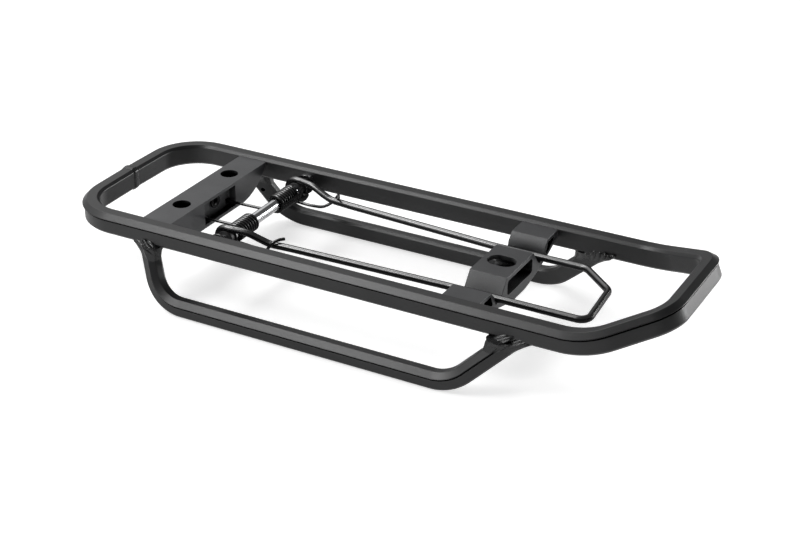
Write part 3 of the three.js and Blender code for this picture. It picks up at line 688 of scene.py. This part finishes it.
def insert():
    """Flanged threaded insert in the middle of the web."""
    rim = INSERT_FLANGE
    profile = [(INSERT_RADIUS, -5), (INSERT_RADIUS, 0.05), (rim - 0.2, 0.05), (rim, 0.25), (rim, 1.35), (rim - 0.3, 1.6),
               (INSERT_BORE + 0.7, 1.6)]
    depth = 1.1
    while depth > -5:
        profile += [(INSERT_BORE, depth), (INSERT_BORE + 0.45, depth - 0.4)]
        depth -= 0.8
    profile += [(INSERT_BORE + 0.3, -5)]
    piece(turned("insert", profile, (RECESS_X, 0, INSERT_Z), 48, "X"), WIRE, "rack", "black_wire", "centre_insert")


def bracket():
    end, floor = RAIL_INNER + 0.05, VALLEY_FLOOR
    right = bezier((8, -21.7), (36, -17.6), (end, -5.1), 16)
    top = [(end, 0), (TAB_INNER, 0), (39.2, -5.4), (37.6, floor + 1.6), (36.4, floor),
           (30.8, floor), (29.4, floor + 1), (BRACKET_TOP_HALF, 0)]
    outline = mirrored(right + [Vector(p) for p in top])
    base = RAIL_TOP - BRACKET_DROP
    body = prism("bracket", raised(outline, base), BRACKET_FRONT_X, BRACKET_REAR_X)
    width, high, low = 19.3, -3.2, -13.8
    cell = filleted([(width, low), (width, high), (-width, high), (-width, low)], 2.5, 8)
    combine(body, prism("cell", raised(cell, base), BRACKET_FRONT_X - 5, BRACKET_REAR_X + 5))
    for side in (1, -1):
        pocket = filleted([(side * y, z) for y, z in ((44.6, -2.5), (56.5, -2.5), (46.5, -8.7), (41, -10.5))], 0.8)
        combine(body, prism("pocket", raised(pocket, base), BRACKET_FRONT_X - 5, BRACKET_REAR_X + 5))
    run, r = (SLOT_LENGTH - SLOT_WIDTH) / 2, SLOT_WIDTH / 2
    middle = (BRACKET_FRONT_X + BRACKET_REAR_X) / 2
    arc = [math.pi * (k / 24 - 0.5) for k in range(25)]
    slot = [(middle + run + r * math.cos(a), r * math.sin(a)) for a in arc]
    slot += [(middle - run - r * math.cos(a), -r * math.sin(a)) for a in arc]
    combine(body, upright("slot", slot, base - 4.4, base + 3))
    soften(body, 0.5)
    piece(body, PLATE, "rack", "powder_coat", "rear_bracket")


# ---------------------------------------------------------------- pivot, springs and bow
def around_axle(radius, angle, y):
    return Vector((AXLE_X + radius * math.cos(angle), y, AXLE_Z + radius * math.sin(angle)))


def axle_arc(radius, from_angle, to_angle, from_y, to_y, pieces):
    return [around_axle(radius, from_angle + (to_angle - from_angle) * t, from_y + (to_y - from_y) * t)
            for t in (k / pieces for k in range(pieces + 1))]


def axle():
    end = RAIL_INNER + 0.3
    profile = [(0.01, -end), (AXLE_RADIUS - 0.3, -end), (AXLE_RADIUS, -end + 0.3),
               (AXLE_RADIUS, end - 0.3), (AXLE_RADIUS - 0.3, end), (0.01, end)]
    rod = turned("axle", profile, (AXLE_X, 0, AXLE_Z), 48, closed=False)
    piece(rod, STEEL, "rack", "bare_steel", "pivot_axle")


def nut_and_washer(side):
    word = "right" if side > 0 else "left"
    middle = RAIL_INNER - 0.1 - NUT_HEIGHT / 2
    centre = (AXLE_X, side * middle, AXLE_Z)
    half = NUT_HEIGHT / 2
    hexagon = turned(f"{word}_nut", [(NUT_RADIUS, -half), (NUT_RADIUS, half)], centre, 6, closed=False)
    flat = NUT_RADIUS * math.cos(math.pi / 6) - 0.15
    barrel = [(flat, -half), (NUT_RADIUS + 0.1, 0.55 - half), (NUT_RADIUS + 0.1, half - 0.55), (flat, half)]
    combine(hexagon, turned("barrel", barrel, centre, 48, closed=False), "INTERSECT")
    combine(hexagon, turned("bore", [(AXLE_RADIUS + 0.08, -8), (AXLE_RADIUS + 0.08, 8)], centre, 48, closed=False))
    soften(hexagon, 0.16, 2)
    piece(hexagon, PLATED, "rack", "bare_steel", f"{word}_axle_nut")
    middle = RAIL_INNER - 0.3 - NUT_HEIGHT - WASHER_HEIGHT / 2
    bore, rim, half = AXLE_RADIUS + 0.08, WASHER_RADIUS, WASHER_HEIGHT / 2
    profile = [(bore, -half + 0.2), (bore + 0.2, -half), (rim - 0.35, -half), (rim - 0.1, 0.1 - half), (rim, 0.35 - half),
               (rim, half - 0.35), (rim - 0.1, half - 0.1), (rim - 0.35, half), (bore + 0.2, half), (bore, half - 0.2)]
    washer = turned(f"{word}_washer", profile, (AXLE_X, side * middle, AXLE_Z), 56)
    piece(washer, WIRE, "rack", "black_wire", f"{word}_axle_washer")


def bush(side):
    word = "right" if side > 0 else "left"
    bore, sleeve = AXLE_RADIUS + RUNNING_FIT, EYE_RADIUS - BOW_WIRE / 2 - 0.15
    near = BOW_WIRE / 2 - 0.1
    far, rim = near + 0.8, FLANGE_RADIUS
    half = [(sleeve, near), (rim - 0.1, near), (rim, near + 0.15), (rim, far - 0.3), (rim - 0.3, far), (bore + 0.25, far), (bore, far - 0.2)]
    profile = half + [(r, -d) for r, d in reversed(half)]
    obj = turned(f"{word}_bush", profile, (AXLE_X, side * EYE_GAUGE, AXLE_Z), 48)
    piece(obj, POLYMER, "bow", "bush_polymer", f"{word}_bow_bush")


def spring(side):
    """One wire: front leg, coil round the axle, and the hook under and over the bow wire."""
    word = "right" if side > 0 else "left"
    start, low = -math.pi / 2, AXLE_Z - COIL_RADIUS
    leg = [Vector((RECESS_X - 6, side * COIL_INNER, FRONT_LEG_Z)), Vector((RECESS_X + 6, side * COIL_INNER, FRONT_LEG_Z)),
           Vector((AXLE_X - 6, side * COIL_INNER, low - 0.05))]
    coil = axle_arc(COIL_RADIUS, start, start + COIL_TURNS * 2 * math.pi, side * COIL_INNER, side * COIL_OUTER, COIL_TURNS * 28)
    bends = [(1, 0, 0), (5, 0.05, 0), (17, 0.7, -0.5), (24.5, 2.7, -0.4), (29.5, 5.8, 2.2), (33, 6.9, 6.2),
             (35.8, 5.6, 9.9), (38.3, 1.9, 10.9), (40.3, -1.8, 10.5)]
    hook = smooth([(AXLE_X + ahead, side * (COIL_OUTER + out), low + rise) for ahead, out, rise in bends], 9)
    obj = skin(f"{word}_spring", wire_rings(leg + coil + hook, SPRING_WIRE, 14))
    piece(obj, WIRE, None, "black_wire", f"{word}_torsion_spring", f"{word}_spring_hook", weighted=False)
    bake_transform(obj)


def bow():
    low = RAIL_TOP - 11
    eye = lambda side: axle_arc(EYE_RADIUS, -0.25, -1.55 * math.pi, side * EYE_GAUGE, side * EYE_GAUGE, 64)
    arm = lambda side: smooth([
        (AXLE_X + 4.6, side * (EYE_GAUGE - 0.4), RAIL_TOP - 2.6), (AXLE_X + 15, side * 43.4, RAIL_TOP - 3.6),
        (AXLE_X + 24.5, side * 41.6, RAIL_TOP - 7), (AXLE_X + 32, side * 40.6, RAIL_TOP - 9.2),
        (AXLE_X + 42, side * 39.6, RAIL_TOP - 9.5),
    ], 10)
    run = rounded_route([Vector(p) for p in [
        (AXLE_X + 48, 39.1, RAIL_TOP - 9.6), (64, BOW_GAUGE, low), (133, BOW_GAUGE, low), (158, 11, low),
        (161.5, -BOW_GAUGE, low), (64, -BOW_GAUGE, low), (AXLE_X + 48, -39.1, RAIL_TOP - 9.6),
    ]], [60, 10, 9, 7, 60], 5)
    points = eye(1) + arm(1) + run + arm(-1)[::-1] + eye(-1)[::-1]
    obj = skin("bow_wire", wire_rings(points, BOW_WIRE, 24))
    piece(obj, WIRE, "bow", "black_wire", "spring_bow", weighted=False)


top_frame()
seam_weld()
crossbeam()
insert()
bracket()
axle()
bow()
for hand in (1, -1):
    side_loop(hand)
    nut_and_washer(hand)
    bush(hand)
    spring(hand)


# ---------------------------------------------------------------- floor, light and camera
ROOM_LOW, ROOM_HIGH, ROOM_POWER, ROOM_AHEAD = 0.08, 2.35, 1.8, 0.35
FLOOR_SEEN, FLOOR_GLOW = 0.58, 0.1


def floor():
    mesh = bpy.data.meshes.new("floor")
    reach = 12
    mesh.from_pydata([(-reach, -reach, 0), (reach, -reach, 0), (reach, reach, 0), (-reach, reach, 0)], [], [(0, 1, 2, 3)])
    obj = bpy.data.objects.new("floor", mesh)
    bpy.context.scene.collection.objects.link(obj)
    obj.location.z = -0.0002
    m = Nodes("floor")
    m.tint(m.ramp(m.noise(400, 2), 0, 1), (0.80, 0.80, 0.80), (0.82, 0.82, 0.82))
    m.set(Roughness=0.9, Specular_IOR_Level=0.0, Emission_Color=(1, 1, 1, 1))
    seen = m.tree.nodes.new("ShaderNodeLightPath").outputs["Is Camera Ray"]
    m.link(m.ramp(seen, FLOOR_GLOW, FLOOR_SEEN, 0, 1), m.shader.inputs["Emission Strength"])
    obj.data.materials.append(m.material)


def studio_world():
    """A white room to the camera; to the object, a dim one that is bright above its front end."""
    world = bpy.data.worlds.new("studio")
    world.use_nodes = True
    nodes, links = world.node_tree.nodes, world.node_tree.links

    def math_node(operation, a, b):
        n = nodes.new("ShaderNodeMath")
        n.operation = operation
        for socket, value in zip(n.inputs, (a, b)):
            if isinstance(value, (int, float)):
                socket.default_value = value
            else:
                links.new(value, socket)
        return n.outputs[0]

    split = nodes.new("ShaderNodeSeparateXYZ")
    links.new(nodes.new("ShaderNodeTexCoord").outputs["Generated"], split.inputs[0])
    height = math_node("MAXIMUM", split.outputs["Z"], 0.0)
    def ahead(start, end):
        """0 up to one direction along X, rising to 1 at another further ahead."""
        n = nodes.new("ShaderNodeMapRange")
        n.inputs["From Min"].default_value = start
        n.inputs["From Max"].default_value = end
        links.new(split.outputs["X"], n.inputs["Value"])
        return n.outputs[0]

    overhead = math_node("MULTIPLY", math_node("POWER", height, ROOM_POWER), ROOM_HIGH - ROOM_LOW)
    level = math_node("MULTIPLY", overhead, ahead(-0.2, -0.42))
    level = math_node("ADD", level, math_node("MULTIPLY", ahead(-0.5, -0.64), ROOM_AHEAD))
    level = math_node("ADD", level, ROOM_LOW)
    seen = nodes.new("ShaderNodeLightPath").outputs["Is Camera Ray"]
    level = math_node("MAXIMUM", level, seen)
    background = nodes["Background"]
    background.inputs["Color"].default_value = (1, 1, 1, 1)
    links.new(level, background.inputs["Strength"])
    bpy.context.scene.world = world


def softbox(name, towards, distance, size, watts, diffuse=1.0):
    """An area light in a direction from the rack, facing it."""
    data = bpy.data.lights.new(name, "AREA")
    data.shape = "RECTANGLE"
    data.size, data.size_y = size
    data.energy = watts
    data.diffuse_factor = diffuse
    obj = bpy.data.objects.new(name, data)
    bpy.context.scene.collection.objects.link(obj)
    direction = Vector(towards).normalized()
    obj.location = direction * distance
    obj.rotation_euler = direction.to_track_quat("Z", "Y").to_euler()


floor()
softbox("key", (-0.46, -0.46, 0.76), 1.5, (0.5, 0.4), 4.7)
softbox("edge", (-0.43, 0.25, 0.86), 1.6, (0.5, 0.12), 2, 0.0)
softbox("front", (-0.43, -0.88, 0.22), 1.5, (0.6, 0.35), 4.6, 0.0)
softbox("side", (0.66, 0.74, 0.08), 1.6, (1.0, 0.8), 31, 0.0)
studio_world()
bpy.context.scene.view_settings.view_transform = "Standard"

camera = bpy.data.objects.new("camera", bpy.data.cameras.new("camera"))
bpy.context.scene.collection.objects.link(camera)
camera.data.sensor_width = 36
camera.data.lens = 74.676
camera.data.clip_start = 0.05
right = Vector((0.87899588, 0.47681109, 0.00417485))
up = Vector((-0.22210093, 0.40166151, 0.88844764))
back = right.cross(up)
turn = Matrix((right, up, back)).transposed().to_4x4()
camera.matrix_world = Matrix.Translation(Vector((0.488600 - MIDDLE_X * MM, -0.886177, RAIL_TOP * MM + 0.495))) @ turn
bpy.context.scene.camera = camera
